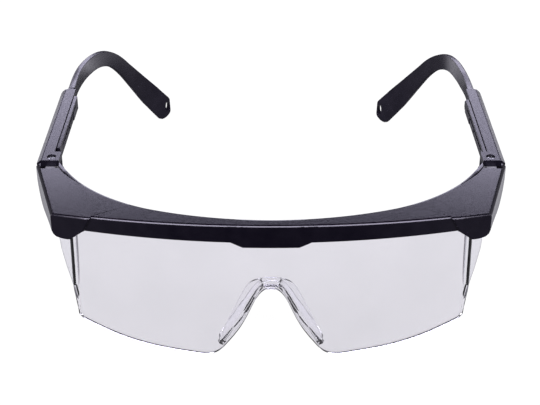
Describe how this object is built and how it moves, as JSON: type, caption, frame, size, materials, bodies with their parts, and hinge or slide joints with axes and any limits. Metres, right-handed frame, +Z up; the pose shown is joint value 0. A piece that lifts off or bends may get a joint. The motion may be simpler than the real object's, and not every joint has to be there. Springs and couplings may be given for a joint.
{
  "type": "safety glasses",
  "caption": "Wraparound clear safety glasses with a black brow frame, side shields, a soft nose bridge and folding temples that tilt and slide longer.",
  "frame": {"origin": "middle of the overall box, at the height of the table that the lens and the temple tips stand on", "axes": "+Z up, +Y from the lens towards the temple tips, +X towards the wearer's left"},
  "size_m": [0.1592, 0.169, 0.0493],
  "materials": {
    "frame_nylon": "moulded black nylon, soft gloss",
    "temple_nylon": "moulded black nylon, fine satin grain",
    "hinge_nylon": "dark moulded nylon with fine teeth",
    "lens_polycarbonate": "clear polycarbonate, hard coated, faint lavender grey",
    "bridge_vinyl": "clear soft vinyl, gloss",
    "screw_steel": "bright plated steel",
    "pin_steel": "plain steel pin",
    "nut_brass": "plain brass"
  },
  "bodies": {
    "frame": {"brow_frame": "frame_nylon", "lens": "lens_polycarbonate", "nose_bridge": "bridge_vinyl", "left_tilt_pin": "pin_steel", "right_tilt_pin": "pin_steel"},
    "left_tilt_block": {"left_tilt_block": "hinge_nylon"},
    "left_sleeve": {"left_temple_sleeve": "temple_nylon", "left_hinge_screw": "screw_steel", "left_hinge_nut": "nut_brass"},
    "left_arm": {"left_temple_arm": "temple_nylon"},
    "right_tilt_block": {"right_tilt_block": "hinge_nylon"},
    "right_sleeve": {"right_temple_sleeve": "temple_nylon", "right_hinge_screw": "screw_steel", "right_hinge_nut": "nut_brass"},
    "right_arm": {"right_temple_arm": "temple_nylon"}
  },
  "joints": [
    {"name": "left_tilt", "type": "hinge", "parent": "frame", "child": "left_tilt_block", "pos_m": [0.0748, -0.04387, 0.04388], "axis": [1, 0, 0], "range_deg": [-10, 10]},
    {"name": "left_fold", "type": "hinge", "parent": "left_tilt_block", "child": "left_sleeve", "pos_m": [0.0748, -0.03717, 0.04388], "axis": [0, 0, 1], "range_deg": [0, 90]},
    {"name": "left_extend", "type": "slide", "parent": "left_sleeve", "child": "left_arm", "axis": [-0.0321, 0.9995, 0], "range_m": [0, 0.0135]},
    {"name": "right_tilt", "type": "hinge", "parent": "frame", "child": "right_tilt_block", "pos_m": [-0.0748, -0.04387, 0.04388], "axis": [1, 0, 0], "range_deg": [-10, 10]},
    {"name": "right_fold", "type": "hinge", "parent": "right_tilt_block", "child": "right_sleeve", "pos_m": [-0.0748, -0.03717, 0.04388], "axis": [0, 0, -1], "range_deg": [0, 72]},
    {"name": "right_extend", "type": "slide", "parent": "right_sleeve", "child": "right_arm", "axis": [0.0321, 0.9995, 0], "range_m": [-0.003, 0.0105]}
  ]
}
